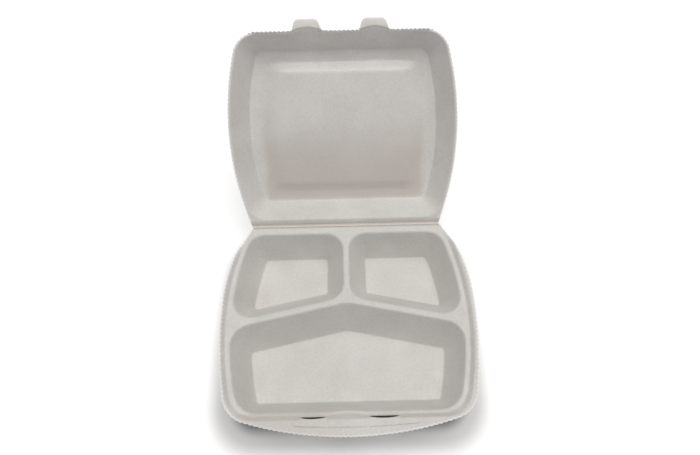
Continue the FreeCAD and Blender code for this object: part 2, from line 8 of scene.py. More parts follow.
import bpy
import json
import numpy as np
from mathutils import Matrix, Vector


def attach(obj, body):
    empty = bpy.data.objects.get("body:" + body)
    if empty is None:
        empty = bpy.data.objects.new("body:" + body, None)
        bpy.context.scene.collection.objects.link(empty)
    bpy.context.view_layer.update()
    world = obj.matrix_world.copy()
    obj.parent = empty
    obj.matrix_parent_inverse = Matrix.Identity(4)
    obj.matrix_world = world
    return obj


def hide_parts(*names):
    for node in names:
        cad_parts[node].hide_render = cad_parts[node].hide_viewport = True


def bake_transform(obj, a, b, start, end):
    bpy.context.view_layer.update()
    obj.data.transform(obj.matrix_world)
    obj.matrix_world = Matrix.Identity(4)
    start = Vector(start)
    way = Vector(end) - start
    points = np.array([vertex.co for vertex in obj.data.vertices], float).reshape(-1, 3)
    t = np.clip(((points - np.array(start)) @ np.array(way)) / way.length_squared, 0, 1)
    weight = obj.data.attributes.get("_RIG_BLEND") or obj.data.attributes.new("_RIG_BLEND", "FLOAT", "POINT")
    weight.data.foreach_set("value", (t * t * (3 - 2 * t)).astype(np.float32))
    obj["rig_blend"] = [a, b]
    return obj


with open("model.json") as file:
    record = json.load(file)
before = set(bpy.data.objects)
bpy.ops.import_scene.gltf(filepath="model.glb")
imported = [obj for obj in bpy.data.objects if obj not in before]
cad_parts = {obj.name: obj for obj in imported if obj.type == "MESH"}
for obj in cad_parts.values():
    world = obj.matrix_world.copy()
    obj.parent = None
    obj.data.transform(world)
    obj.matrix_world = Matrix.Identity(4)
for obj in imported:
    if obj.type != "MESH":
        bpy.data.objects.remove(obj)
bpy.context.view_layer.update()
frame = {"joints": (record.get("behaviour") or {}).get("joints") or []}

# %% Modules
import json
import math
from contextlib import contextmanager
from functools import partial

import bmesh
import bpy
from mathutils import Matrix, Vector, kdtree, noise

# %% [markdown]
# ## Camera
# The container is looked at from above and a little in front, as it lies open on a table. A camera
# with a wide lens stands close to it, so the lid spreads towards the top of the view. Its place and
# its three turns are given as plain numbers, because that way it never moves when a piece changes.

# %% Place the camera
CAMERA_PLACE = (0.00326, -0.13364, 0.44822)  # metres
CAMERA_TURNS = (29.7106, 0.4891, -1.2114)  # degrees: back from looking straight down, then level
LENS, SENSOR = 23.167, 36  # millimetres
bpy.ops.object.select_all(action="DESELECT")
turns = [math.radians(angle) for angle in CAMERA_TURNS]
bpy.ops.object.camera_add(location=CAMERA_PLACE, rotation=turns)
camera = bpy.context.object
camera.data.lens = LENS
camera.data.sensor_width = SENSOR
camera.data.clip_start = 0.01
bpy.context.scene.camera = camera
print("camera", camera.location[:], "lens", camera.data.lens)

# %% [markdown]
# ## Table and light
# White foam shows its shape only through soft changes of grey, so the light matters as much as the
# mesh. One large lamp hangs overhead, a little behind and to the right, and the world fills in the
# rest. A real table is dim under a container and pale around it. Here that is painted, by the
# distance from the container's floors, so that the slits show dark. Further out the table also
# glows, for the camera only: it shows white there and lights nothing.


# %% Helpers for nodes
def add_node(tree, kind, settings=None, **inputs):
    """A node with its settings; each input is a value, a socket or a node's first output."""
    node = tree.nodes.new("ShaderNode" + kind)
    for key, value in (settings or {}).items():
        setattr(node, key, value)
    for key, value in inputs.items():
        socket = node.inputs[int(key[1:]) if key[0] == "_" else key.replace("_", " ")]
        value = value.outputs[0] if isinstance(value, bpy.types.Node) else value
        if isinstance(value, bpy.types.NodeSocket):
            tree.links.new(value, socket)
        else:
            socket.default_value = value
    return node


def node_adder(owner):
    """Empties the nodes of a material or a world, and returns a function that adds new ones."""
    owner.use_nodes = True
    owner.node_tree.nodes.clear()
    return partial(add_node, owner.node_tree)


# %% How far a place on the table is from the container's floors
TABLE_SIZE, TABLE_DROP = 6, 0.0002  # metres; it lies just below the floors
FLOORS = (0.085, 0.067, 0)  # half the length and width of what stands on it, in metres


def distance_from_floors(add):
    """The distance from the box that the floors fill, 0 inside it, on Object coordinates."""
    spot = add("TexCoord").outputs["Object"]
    spot = add("VectorMath", {"operation": "ABSOLUTE"}, _0=spot)
    past = add("VectorMath", {"operation": "SUBTRACT"}, _0=spot, _1=FLOORS)
    past = add("VectorMath", {"operation": "MAXIMUM"}, _0=past, _1=(0, 0, 0))
    return add("VectorMath", {"operation": "LENGTH"}, _0=past).outputs["Value"]


# %% The table
PAINT_RANGE, PAINT_TONES = (0.012, 0.03), (0.12, 0.86)  # metres away, and dim to pale
GLOW_RANGE, GLOW_STRENGTH = (0.032, 0.056), 0.42
SOFTLY = {"interpolation_type": "SMOOTHSTEP"}
bpy.ops.object.select_all(action="DESELECT")
bpy.ops.mesh.primitive_grid_add(x_subdivisions=4, y_subdivisions=4, size=TABLE_SIZE,
                                location=(0, 0, -TABLE_DROP))
table = bpy.context.object
table.name = "table"
material = bpy.data.materials.new("white_table")
add = node_adder(material)
away = distance_from_floors(add)
tone = add("MapRange", SOFTLY, Value=away, From_Min=PAINT_RANGE[0], From_Max=PAINT_RANGE[1],
           To_Min=PAINT_TONES[0], To_Max=PAINT_TONES[1])
paint = add("BsdfDiffuse", Color=tone)
strength = add("MapRange", SOFTLY, Value=away, From_Min=GLOW_RANGE[0], From_Max=GLOW_RANGE[1],
               To_Max=GLOW_STRENGTH)
seen = add("LightPath").outputs["Is Camera Ray"]
seen = add("Math", {"operation": "MULTIPLY"}, _0=seen, _1=strength)
glow = add("Emission", Color=(1, 1, 1, 1), Strength=seen)
lit = add("AddShader", _0=paint, _1=glow)
add("OutputMaterial", Surface=lit)
table.data.materials.append(material)
print("table", table.dimensions[:2], "m")

# %% The lamp
LAMP_PLACE, LAMP_AIM = (0.12, 0.1, 1.5), Vector((0, 0.05, 0.05))
LAMP_SIZE, LAMP_POWER, LAMP_COLOUR = 1.3, 12.7, (1.0, 0.975, 0.935)  # metres, watts, a warm white
bpy.ops.object.select_all(action="DESELECT")
bpy.ops.object.light_add(type="AREA", location=LAMP_PLACE)
lamp = bpy.context.object
lamp.data.shape = "DISK"
lamp.data.size = LAMP_SIZE
lamp.data.energy = LAMP_POWER
lamp.data.color = LAMP_COLOUR
aim = LAMP_AIM - lamp.location
lamp.rotation_mode = "QUATERNION"
lamp.rotation_quaternion = aim.to_track_quat("-Z", "Y")

# %% The world
FILL_COLOUR, FILL_STRENGTH = (0.96, 0.98, 1.0, 1), 0.36  # what it lights with; it shows white
world = bpy.data.worlds.new("soft_room")
bpy.context.scene.world = world
add = node_adder(world)
fill = add("Background", Color=FILL_COLOUR, Strength=FILL_STRENGTH)
white = add("Background", Color=(1, 1, 1, 1), Strength=1.0)
seen = add("LightPath").outputs["Is Camera Ray"]
room = add("MixShader", _0=seen, _1=fill, _2=white)
add("OutputWorld", Surface=room)
bpy.context.scene.view_settings.view_transform = "Standard"
print("lamp", lamp.data.energy, "W, world", fill.inputs["Strength"].default_value)

# %% [markdown]
# ## Foam
# Foam sheet is white and nearly matt. Close up, its skin shows flattened cells about a millimetre
# across, and larger soft patches where the sheet was drawn thinner. Cells come from a Voronoi
# texture, and the grain and the patches from two noises, all on Object coordinates, so they stay
# on the piece when it moves. The colour, the roughness and the bump share them. Three attributes
# of the mesh say where the foam differs: from_cut is the distance from the cut edge, where a
# painted highlight makes the foam whiter; pressed is how far it is greyed, partly where
# it is pressed and partly as painted shade; and sheen is how smooth a hot press left it.


# %% The foam's textures
CELL_SCALE, GRAIN_SCALE, PATCH_SCALE = 900.0, 420.0, 28.0  # about how many to a metre


def foam_textures(add):
    """The cells, the grain and the patches."""
    place = add("TexCoord").outputs["Object"]
    cells = add("TexVoronoi", {"feature": "SMOOTH_F1"}, Vector=place, Scale=CELL_SCALE,
                Smoothness=0.6).outputs["Distance"]
    grain = add("TexNoise", Vector=place, Scale=GRAIN_SCALE, Detail=3.0, Roughness=0.6)
    patches = add("TexNoise", Vector=place, Scale=PATCH_SCALE, Detail=4.0, Roughness=0.55)
    return cells, grain, patches


# %% The foam's tones
LIGHT_TONE, DARK_TONE = (0.765, 0.747, 0.725, 1), (0.665, 0.645, 0.62, 1)
CUT_HIGHLIGHT_TONE, PRESSED_AND_SHADE_TONE = (0.97, 0.96, 0.95, 1), (0.585, 0.51, 0.46, 1)
CUT_HIGHLIGHT_REACH = 0.0016  # how far the painted highlight reaches in from a cut, in metres


def attribute(add, name):
    """The value that each vertex keeps under a name."""
    return add("Attribute", {"attribute_name": name}).outputs["Fac"]


def foam_tone(add, grain, patches):
    """A lighter and a darker tone, mixed, then whiter near a cut as a painted highlight, and greyer where it
    is pressed and where shade is painted.
    """
    blend = add("Math", {"operation": "MULTIPLY"}, _0=grain, _1=0.5)
    blend = add("Math", {"operation": "MULTIPLY_ADD"}, _0=patches, _1=0.5, _2=blend)
    tone = add("ValToRGB", Fac=blend)
    dark, light = tone.color_ramp.elements
    dark.position, dark.color = 0.34, DARK_TONE
    light.position, light.color = 0.62, LIGHT_TONE
    # A painted highlight: the foam turns whiter along every cut edge and slit side.
    highlight_near_cut = add("MapRange", Value=attribute(add, "from_cut"), From_Max=CUT_HIGHLIGHT_REACH, To_Min=1.0,
                   To_Max=0.0)
    tone = add("Mix", {"data_type": "RGBA"}, _0=highlight_near_cut, _6=tone, _7=CUT_HIGHLIGHT_TONE)
    # Greyer where the foam is pressed, and where shade is painted: on the panel, the tray's front and the
    # hinge's groove.
    tone = add("Mix", {"data_type": "RGBA"}, _0=attribute(add, "pressed"), _6=tone.outputs[2],
               _7=PRESSED_AND_SHADE_TONE)
    return tone.outputs[2]


# %% The foam's relief
CELL_RELIEF, PATCH_RELIEF = 0.00012, 0.0006  # metres


def foam_relief(add, cells, grain, patches):
    """Fine bumps, as a normal, and under them the soft swell of the patches."""
    height = add("Math", {"operation": "MULTIPLY_ADD"}, _0=grain, _1=1.2, _2=cells)
    bump = add("Bump", Height=height, Strength=0.7, Distance=CELL_RELIEF)
    return add("Bump", Height=patches, Strength=0.85, Distance=PATCH_RELIEF, Normal=bump)


# %% Make the foam
def foam_material(name):
    """White foam, rougher and duller where it has no sheen."""
    material = bpy.data.materials.new(name)
    add = node_adder(material)
    cells, grain, patches = foam_textures(add)
    rough = add("MapRange", Value=grain, To_Min=0.5, To_Max=0.72)
    sheen = attribute(add, "sheen")
    rough = add("MapRange", Value=sheen, To_Min=rough, To_Max=0.32)
    gloss = add("MapRange", Value=sheen, To_Min=0.35, To_Max=1.0)
    skin = add("BsdfPrincipled", Base_Color=foam_tone(add, grain, patches), Roughness=rough,
               Normal=foam_relief(add, cells, grain, patches), IOR=1.45, Specular_IOR_Level=gloss)
    add("OutputMaterial", Surface=skin)
    print("material", name, len(material.node_tree.nodes), "nodes")
    return material


FOAM, LID_FOAM = foam_material("tray_foam"), foam_material("lid_foam")

# %% [markdown]
# ## Outlines
# A mould maker draws each ring of the container as straight runs, bowed runs and round corners
# between them. Here x runs along the hinge and s is the distance from the hinge, so the tray and
# the opened lid share one drawing. An outline is walked anticlockwise, with its inside on the left,
# and comes back as a list of points. All sizes are in millimetres until a point is placed.

# %% Sizes of the container
MM = 0.001
HINGE = Vector(frame["joints"][0]["pos_m"])  # the hinge axis, in metres
LEDGE_HEIGHT = 44.0
LEDGE_HALF_WIDTH, SIDE_RADIUS, SIDE_STATION = 112.5, 277.0, 92.0
LEDGE_FRONT, LEDGE_CORNER = 186.0, 24.0
STEP_RISE, STEP_RUN = 5.5, 2.8
FLANGE_HALF_WIDTH, FLANGE_STATION = 117.94, 82.0
FLANGE_RADII = (160.0, 400.0)  # behind the widest place and in front of it
FLANGE_CORNER, LIP_FRONT, LIP_RADIUS, TRIM_SHIFT = 28.0, 200.98, 326.0, 1.2
TRAY_DEPTH, LID_DEPTH = 41.5, 27.0
TRAY_GAUGE, LID_GAUGE = 2.42, 1.95


# %% Straight and bowed runs
def heading_vector(degrees):
    """A step of 1 in a direction, which is 0 along x and turns anticlockwise."""
    turn = math.radians(degrees)
    return Vector((math.cos(turn), math.sin(turn)))


class Straight:
    """A straight run, given by a point that it passes and its heading in degrees."""

    def __init__(self, x, s, heading):
        self.middle = Vector((x, s))
        along = heading_vector(heading)
        self.inward = Vector((-along.y, along.x))

    def depth(self, point):
        """How far inside the run a point is, and the direction inwards."""
        return (point - self.middle).dot(self.inward), self.inward

    def walk(self, start, end, count):
        """Points from start up to, and without, end."""
        return [start.lerp(end, i / count) for i in range(count)]


class Bow:
    """A run along a circle that bows outwards; heading says on which side of its centre it lies."""

    def __init__(self, x, s, radius, heading):
        self.centre = Vector((x, s))
        self.radius = radius
        self.middle = self.centre + heading_vector(heading) * radius

    def depth(self, point):
        """The same as for a straight run."""
        out = point - self.centre
        return self.radius - out.length, -out.normalized()

    def walk(self, start, end, count):
        return walk_arc(self.centre, start, end, count)


def walk_arc(centre, start, end, count):
    """Points from start up to, and without, end, anticlockwise about a centre."""
    first, last = (math.atan2(p.y - centre.y, p.x - centre.x) for p in (start, end))
    if last < first - 1e-9:
        last += 2 * math.pi
    radius = (start - centre).length
    turns = [first + (last - first) * i / count for i in range(count)]
    return [centre + Vector((math.cos(t), math.sin(t))) * radius for t in turns]


# %% Join runs with round corners
CORNER_STEPS = 12
ROUNDS = 40  # of closing in on a corner's centre; a few would do on straight runs


def corner_between(before, after, radius):
    """A corner's centre, and where its circle leaves one run and meets the next."""
    point = (before.middle + after.middle) / 2
    for _ in range(ROUNDS):
        (depth_a, in_a), (depth_b, in_b) = before.depth(point), after.depth(point)
        miss_a, miss_b = radius - depth_a, radius - depth_b
        cross = in_a.x * in_b.y - in_a.y * in_b.x
        point = point + Vector((miss_a * in_b.y - miss_b * in_a.y,
                                miss_b * in_a.x - miss_a * in_b.x)) / cross
    return point, point - before.depth(point)[1] * radius, point - after.depth(point)[1] * radius


def closed_outline(runs, radii, counts):
    """The points of a closed outline: radii gives the corner after each run, counts its steps."""
    corners = [corner_between(run, runs[(i + 1) % len(runs)], max(radii[i], 0.01))
               for i, run in enumerate(runs)]
    points = []
    for i, run in enumerate(runs):
        points += run.walk(corners[i - 1][2], corners[i][1], counts[i])
        points += walk_arc(*corners[i], CORNER_STEPS)
    return points


def side(grow, hand=1):
    """A bowed side of the ledge, moved out by grow; hand is 1 on the right and -1 on the left."""
    x = (LEDGE_HALF_WIDTH - SIDE_RADIUS) * hand
    return Bow(x, SIDE_STATION, SIDE_RADIUS + grow, 0 if hand > 0 else 180)


RIM_COUNTS = (120, 540, 480, 540)
BEHIND_HINGE = -20  # a rim's sides run on past the hinge, and only their front part is used


def rim_outline(grow, front):
    """An outline along the ledge's sides, moved out by grow, that ends at a distance in front."""
    runs = [Straight(0, BEHIND_HINGE, 0), side(grow), Straight(0, front, 180), side(grow, -1)]
    return closed_outline(runs, [0, LEDGE_CORNER + grow, LEDGE_CORNER + grow, 0], RIM_COUNTS)


print("ledge", len(rim_outline(0, LEDGE_FRONT)), "points")

# %% [markdown]
# ## Hollows
# Each compartment is a ring that sinks: the sheet turns over a soft edge at the mouth, runs down a
# wall that leans in, turns again and closes on the floor. A ring is the same outline at each depth,
# with more lean and tighter corners further down. So a hollow is modelled from one circle, which is
# extruded edge by edge, and every new ring is fitted to its outline.


# %% Rings that sink
MOUTH_STEPS, WALL_STEPS, FOOT_STEPS = 6, 9, 5
FLOOR_SHARES = (0.8, 0.6, 0.4, 0.2, 0.02)
FLOOR_SAG = 0.25  # how wavy the floor is, in millimetres


def shares(steps):
    """Numbers from 0 to 1 in equal steps."""
    return [i / steps for i in range(steps + 1)]


def hollow_rings(outline, depth, mouth, foot):
    """The rings of a hollow: mouth and foot are how far its two turns reach across and down."""
    turns = [(mouth[0] * (1 - t) ** 2, -mouth[1] * t * t) for t in shares(MOUTH_STEPS)]
    turns += [(0, -mouth[1] - (depth - mouth[1] - foot[1]) * t) for t in shares(WALL_STEPS)[1:-1]]
    turns += [(-foot[0] * t * t, -depth + foot[1] * (1 - t) ** 2) for t in shares(FOOT_STEPS)]
    return [[Vector((p.x, p.y, z)) for p in outline(grow, -z / depth)] for grow, z in turns]


def close_floor(rings):
    """More rings, that shrink across the floor towards its middle, with a slight waviness."""
    last = rings[-1]
    middle = sum(last, Vector()) / len(last)
    for share in FLOOR_SHARES:
        shrunk = [middle.lerp(p, share) for p in last]
        for p in shrunk:
            p.z += FLOOR_SAG * noise.noise(p * 0.035) * (1 - share)
        rings.append(shrunk)
    return rings


# %% From a circle to a hollow
FAR = 1.0  # the distance from the cut, in metres, that stands for a place away from it


def write_values(piece, name, values, kind="FLOAT"):
    """Gives a piece an attribute, with a value for each vertex."""
    piece.data.attributes.new(name, kind, "POINT").data.foreach_set("value", values)


@contextmanager
def edit_mode():
    """Edit mode with all selected at first, and object mode again afterwards."""
    bpy.ops.object.mode_set(mode="EDIT")
    bpy.ops.mesh.select_all(action="SELECT")
    yield
    bpy.ops.object.mode_set(mode="OBJECT")


def fit(piece, points, place):
    """Moves a piece's selected vertices to the points that their numbers stand for."""
    mesh = bmesh.from_edit_mesh(piece.data)
    number = mesh.verts.layers.int["place"]
    for vertex in mesh.verts:
        if vertex.select:
            vertex.co = place(points[vertex[number]])
    bmesh.update_edit_mesh(piece.data)


def extrude_rings(name, rings, place, fill="NOTHING"):
    """One circle, extruded from ring to ring; what starts open is closed at the last ring."""
    bpy.ops.object.select_all(action="DESELECT")
    bpy.ops.mesh.primitive_circle_add(vertices=len(rings[0]), radius=0.05, fill_type=fill)
    piece = bpy.context.object
    piece.name = name
    write_values(piece, "place", list(range(len(rings[0]))), "INT")
    write_values(piece, "from_cut", [FAR] * len(rings[0]))
    starts_open = fill == "NOTHING"
    extrude = bpy.ops.mesh.extrude_edges_move if starts_open else bpy.ops.mesh.extrude_region_move
    with edit_mode():
        fit(piece, rings[0], place)
        for ring in rings[1:]:
            extrude()
            fit(piece, ring, place)
        if starts_open:
            bpy.ops.mesh.edge_face_add()
    print(name, len(piece.data.polygons), "faces")
    return piece


# %% The small compartments' outline
DIVIDER_APEX, DIVIDER_ANGLE, DIVIDER_WIDTH = 84.5, 12.1, 6.0
HALF_WAY = 56  # x of the middle of each half of the divider
DIVIDER_RISE = HALF_WAY * math.tan(math.radians(DIVIDER_ANGLE))
LEDGE_MARGIN, SIDE_LEAN = 4.2, 12.0  # from the ledge's edge to a mouth, and on to the floor
SMALL_BACK, SMALL_INNER = (10.0, 9.4), (2.7, 17.6)  # the mouth's place, and the floor's from it
SMALL_FRONT_LEAN = 23.4
MOUTH_CORNER, CORNER_LEAN = 18.0, 15.0


def small_compartment(grow, lean):
    """The right-hand small compartment; lean runs from 0 at its mouth to 1 at its floor."""
    back = SMALL_BACK[0] + SMALL_BACK[1] * lean - grow
    inner = SMALL_INNER[0] + SMALL_INNER[1] * lean - grow
    front = DIVIDER_APEX - DIVIDER_WIDTH - SMALL_FRONT_LEAN * lean + grow + DIVIDER_RISE
    runs = [Straight(HALF_WAY, back, 0), side(grow - LEDGE_MARGIN - SIDE_LEAN * lean),
            Straight(HALF_WAY, front, 180 + DIVIDER_ANGLE),
            Straight(inner, (back + front) / 2, 270)]
    return closed_outline(runs, [MOUTH_CORNER - CORNER_LEAN * lean + grow] * 4, (26, 22, 26, 20))


# %% The large compartment's outline
LARGE_BACK_LEAN, LARGE_FRONT_LEAN = 14.8, 14.0
FRONT_MARGIN = 5.1  # from the front of the ledge to the mouth
FRONT_CORNER, FRONT_CORNER_LEAN, APEX_CORNER = 22.0, 19.0, 35.0


def large_compartment(grow, lean):
    """The large compartment, whose back edge has two halves that meet at an apex."""
    outer = grow - LEDGE_MARGIN - SIDE_LEAN * lean
    back = DIVIDER_APEX + LARGE_BACK_LEAN * lean - grow + DIVIDER_RISE
    front = LEDGE_FRONT - FRONT_MARGIN - LARGE_FRONT_LEAN * lean + grow
    runs = [Straight(-HALF_WAY, back, -DIVIDER_ANGLE), Straight(HALF_WAY, back, DIVIDER_ANGLE),
            side(outer), Straight(0, front, 180), side(outer, -1)]
    rear = MOUTH_CORNER - CORNER_LEAN * lean + grow
    fore = FRONT_CORNER - FRONT_CORNER_LEAN * lean + grow
    corners = [APEX_CORNER + grow, rear, fore, fore, rear]
    return closed_outline(runs, corners, (26, 26, 26, 110, 26))


# %% Small curves, for all that fades in or out
def smooth_step(low, high, x):
    """0 up to low and 1 from high, with a soft rise between them."""
    t = min(1.0, max(0.0, (x - low) / (high - low)))
    return t * t * (3 - 2 * t)


def mix(a, b, share):
    """The value at a share of the way from a to b."""
    return a + (b - a) * share


def arch(x, middle, half):
    """1 in the middle and 0 at and beyond each end."""
    return max(0.0, 1 - ((x - middle) / half) ** 2)


# %% Place a point on the tray
BLOCK, BLOCK_PUSH = (-0.9, 16.9), 1.1  # middle and half length, between the two slits
BLOCK_STARTS, BLOCK_ENDS = (177, 182.4), (184.2, 187.2)  # where the push sets in and fades


def block_bulge(x):
    """How far the block between the slits pushes into the large compartment."""
    return BLOCK_PUSH * arch(x, *BLOCK) ** 1.5


def on_tray(point):
    """A tray point (x, distance from the hinge, height above the ledge), in metres."""
    s = point.y - block_bulge(point.x) * smooth_step(*BLOCK_STARTS, point.y) * (
        1 - smooth_step(*BLOCK_ENDS, point.y))
    return Vector((point.x, HINGE.y / MM - s, LEDGE_HEIGHT + point.z)) * MM


# %% Sink the three compartments
SMALL_TURN, LARGE_TURN, FOOT_TURN = (1.9, 2.8), (1.4, 2.6), (1.5, 1.5)  # across and down
small_rings = close_floor(hollow_rings(small_compartment, TRAY_DEPTH, SMALL_TURN, FOOT_TURN))
large_rings = close_floor(hollow_rings(large_compartment, TRAY_DEPTH, LARGE_TURN, FOOT_TURN))
other_rings = [[Vector((-p.x, p.y, p.z)) for p in ring] for ring in small_rings]
hollows = [extrude_rings("right_compartment", small_rings, on_tray),
           extrude_rings("left_compartment", other_rings, on_tray),
           extrude_rings("large_compartment", large_rings, on_tray)]

# %% [markdown]
# ## The cut edge
# A toothed die cuts the sheet out, and leaves small scallops along the sides, the lip and the lid.
# They are what the eye meets first at the edge of real foam, so they are modelled, not painted. The
# outer band of each half is a grid: one row of it follows the toothed cut, and the others step in
# from it, straight towards the ledge.

# %% Teeth along an open outline
TOOTH_PITCH, TOOTH_DEPTH, TOOTH_POINTS = 4.2, 0.95, 6
FINE_STEPS, PLAIN_STEPS = 400, 4  # along a run, and along each plain end


def tooth_notches(first, last, teeth, start, plain_first, plain_last):
    """Shares of a run's length, each with how deep the worn cut is there, from 0 to about 1."""
    steps = teeth * TOOTH_POINTS
    for i in range(steps + 1):
        u = i / TOOTH_POINTS
        wear = 0.85 + 0.3 * noise.noise(Vector((u * 3.1, start.x, start.y)))
        notch = (1 - abs(math.sin(math.pi * u))) * wear
        if (plain_first and i == 0) or (plain_last and i == steps):
            notch = 0.0
        yield first + (last - first) * i / steps, notch


def toothed_walk(run, start, end, before=0.0, after=0.0):
    """Points along a run with scallops, left plain over a length at each end."""
    plain = run.walk(start, end, FINE_STEPS) + [end]
    length = sum((b - a).length for a, b in zip(plain, plain[1:]))
    first, last = before / length, 1 - after / length
    teeth = max(1, round((last - first) * length / TOOTH_PITCH))
    notches = [(first * i / PLAIN_STEPS, 0.0) for i in range(PLAIN_STEPS)] if before else []
    notches += tooth_notches(first, last, teeth, start, before, after)
    if after:
        notches += [(last + (1 - last) * (i + 1) / PLAIN_STEPS, 0.0) for i in range(PLAIN_STEPS)]
    points = []
    for share, notch in notches:
        spot = share * FINE_STEPS
        near = min(int(spot), FINE_STEPS - 1)
        point = plain[near].lerp(plain[near + 1], spot - near)
        points.append(point + run.depth(point)[1] * notch * TOOTH_DEPTH)
    return points


def toothed_corner(corner, radius):
    """A round corner, given by its centre, start and end, with scallops."""
    centre, start, end = corner
    return toothed_walk(Bow(centre.x, centre.y, radius, 0), start, end)


def on_bow(bow, s, hand):
    """The place on a bow at a distance from the hinge, to one side."""
    return Vector((bow.centre.x + hand * math.sqrt(bow.radius**2 - (s - bow.centre.y) ** 2), s))


# %% The tray's cut edge
SEAM = 4.6  # the strip along the hinge takes over here
PLAIN_END = 8.0  # the die has no teeth this near the strip
POINT_GAP = 0.12  # points nearer to each other than this count as one


def flank(radius, hand):
    """A side of the flange; hand is 1 on the right and -1 on the left."""
    x = (FLANGE_HALF_WIDTH - radius) * hand + TRIM_SHIFT
    return Bow(x, FLANGE_STATION, radius, 0 if hand > 0 else 180)


def tray_cut():
    """The tray's outer edge, from the hinge on the right, round the front, to the left."""
    lip = Bow(TRIM_SHIFT, LIP_FRONT - LIP_RADIUS, LIP_RADIUS, 90)
    back, front = FLANGE_RADII
    right, left = flank(front, 1), flank(front, -1)
    corner_right = corner_between(right, lip, FLANGE_CORNER)
    corner_left = corner_between(lip, left, FLANGE_CORNER)
    widest = [Vector((TRIM_SHIFT + hand * FLANGE_HALF_WIDTH, FLANGE_STATION)) for hand in (1, -1)]
    rear = flank(back, 1), flank(back, -1)
    points = toothed_walk(rear[0], on_bow(rear[0], SEAM, 1), widest[0], before=PLAIN_END)
    points += toothed_walk(right, widest[0], corner_right[1])[1:]
    points += toothed_corner(corner_right, FLANGE_CORNER)
    points += toothed_walk(lip, corner_right[2], corner_left[1])
    points += toothed_corner(corner_left, FLANGE_CORNER)
    points += toothed_walk(left, corner_left[2], widest[1])
    points += toothed_walk(rear[1], widest[1], on_bow(rear[1], SEAM, -1), after=PLAIN_END)[1:]
    return spaced(points)


def spaced(points):
    """The same points without any that nearly touch the one before."""
    kept = [points[0]]
    for point in points[1:]:
        if (point - kept[-1]).length > POINT_GAP:
            kept.append(point)
    return kept


tray_edge = tray_cut()
print("tray edge", len(tray_edge), "points")


# %% Columns from the cut edge inwards
def nearest_on_run(point, start, end):
    """The nearest place to a point on the straight line from start to end."""
    run = end - start
    share = min(1.0, max(0.0, (point - start).dot(run) / run.length_squared))
    return start + run * share


def feet(points, outline):
    """The nearest place on a closed outline to each point: there its column starts."""
    finder = kdtree.KDTree(len(outline))
    for i, point in enumerate(outline):
        finder.insert((point.x, point.y, 0), i)
    finder.balance()
    found = []
    for point in points:
        _, i, _ = finder.find((point.x, point.y, 0))
        spots = [nearest_on_run(point, outline[i - 1], outline[i]),
                 nearest_on_run(point, outline[i], outline[(i + 1) % len(outline)])]
        found.append(min(spots, key=lambda spot: (point - spot).length))
    return found


# %% A band of rows and columns
LEDGE_EDGE, INSIDE, FLAP_SIDE, LOCK_SIDE = -1, -2, -3, -4  # what "place" says of a vertex


def lay_band(name, rows, place, mark=lambda row, point: None):
    """A grid fitted to rows of points; each vertex keeps what it bounds, and its way to the cut."""
    across, count = len(rows[0]), len(rows)
    bpy.ops.object.select_all(action="DESELECT")
    bpy.ops.mesh.primitive_grid_add(x_subdivisions=across - 1, y_subdivisions=count - 1, size=0.2)
    piece = bpy.context.object
    piece.name = name
    numbers, rooms = [], []
    for i, vertex in enumerate(piece.data.vertices):
        row, column = divmod(i, across)
        point = rows[row][column]
        vertex.co = place(point)
        at_edge = row == 0 or column in (0, across - 1)
        slit = mark(row, point)
        numbers.append(slit or (LEDGE_EDGE if at_edge else INSIDE))
        rooms.append(0.0 if slit else (point - rows[-1][column]).xy.length * MM)
    write_values(piece, "place", numbers, "INT")
    write_values(piece, "from_cut", rooms)
    print(name, across, "x", count)
    return piece


# %% [markdown]
# ## The ledge, the step and the lip
# Outside the ledge the sheet steps up and turns out flat as the flange, which is wide only at the
# front, where it is the lip. The step turns softly at its foot and its head, so its height comes
# from a smooth ramp. It fades out towards the hinge. At the front the die also cuts two slits along
# the step's foot, and between them the step stands proud as a block. Short lines are pressed round
# the slits, and a crease across the lip.

# %% The rows of the band
BAND_INSET = 0.5
STEP_LEVELS = (-0.5, -0.25, 0.0, 0.2, 0.4, 0.6, 0.9, 1.2, 1.5, 1.8, 2.1, 2.4, 2.7, 3.0, 3.4, 3.8,
               4.3)  # the rows near the step, as distances from the ledge
LIP_SHARES = (0.12, 0.24, 0.36, 0.41, 0.45, 0.49, 0.54, 0.64, 0.78, 0.9, 1.0)  # on to the cut
STEP_FOOT, FRONT_RUN = 183.6, 3.9  # the step at the front
FULL_BAND = 5.4  # where the flange is narrower than this, the rows close up
RISE_STARTS = (6, 30)  # from the hinge: the step rises over this stretch
FRONT_HALF_WIDTH = 60  # the slits and the lines lie within this


def soft_ramp(d, run=STEP_RUN, turn=0.42):
    """The step's height at a distance outside the ledge, from 0 at the band's first row."""
    def soft(x):
        return turn * math.log1p(math.exp(-abs(x) / turn)) + max(x, 0.0)

    def climb(x):
        return (soft(x) - soft(x - run)) / run

    start = climb(-BAND_INSET)
    return STEP_RISE * (climb(d) - start) / (1 - start)


def step_point(foot, cut, level, share):
    """A point of the band: level is its distance from the ledge, and share its place on the lip."""
    out = cut - foot
    reach = out.length - BAND_INSET
    out.normalize()
    fit_in = min(1.0, (reach + BAND_INSET) / FULL_BAND)
    at = -BAND_INSET + (level + BAND_INSET) * fit_in
    at += (reach - at) * share
    spot = foot + out * (at + BAND_INSET)
    run = mix(STEP_RUN, FRONT_RUN, smooth_step(STEP_FOOT - 14, STEP_FOOT - 4, foot.y))
    height = soft_ramp(at, run)
    if foot.y > STEP_FOOT - 6 and abs(spot.x) < FRONT_HALF_WIDTH:
        at, height = slit_side(spot.x, at, height, level, share, run)
        height -= pressed_lines(spot.x, level, share)
        spot = foot + out * (at + BAND_INSET)
    return Vector((spot.x, spot.y, height * smooth_step(*RISE_STARTS, spot.y)))


# %% The slits
SLITS = ((-30.0, 11.9, 2.3), (29.4, 13.9, 2.5))  # middle, half length and gape
FLAP_LEVEL, LOCK_LEVEL = 0.6, 0.9  # the rows that become the two sides of each slit
SLIT_START = 0.9  # from the ledge to the near side of an open slit
FLAP_DROP, LOCK_SLOPE = 0.25, 0.12  # the near side hangs a little, and the far side keeps up


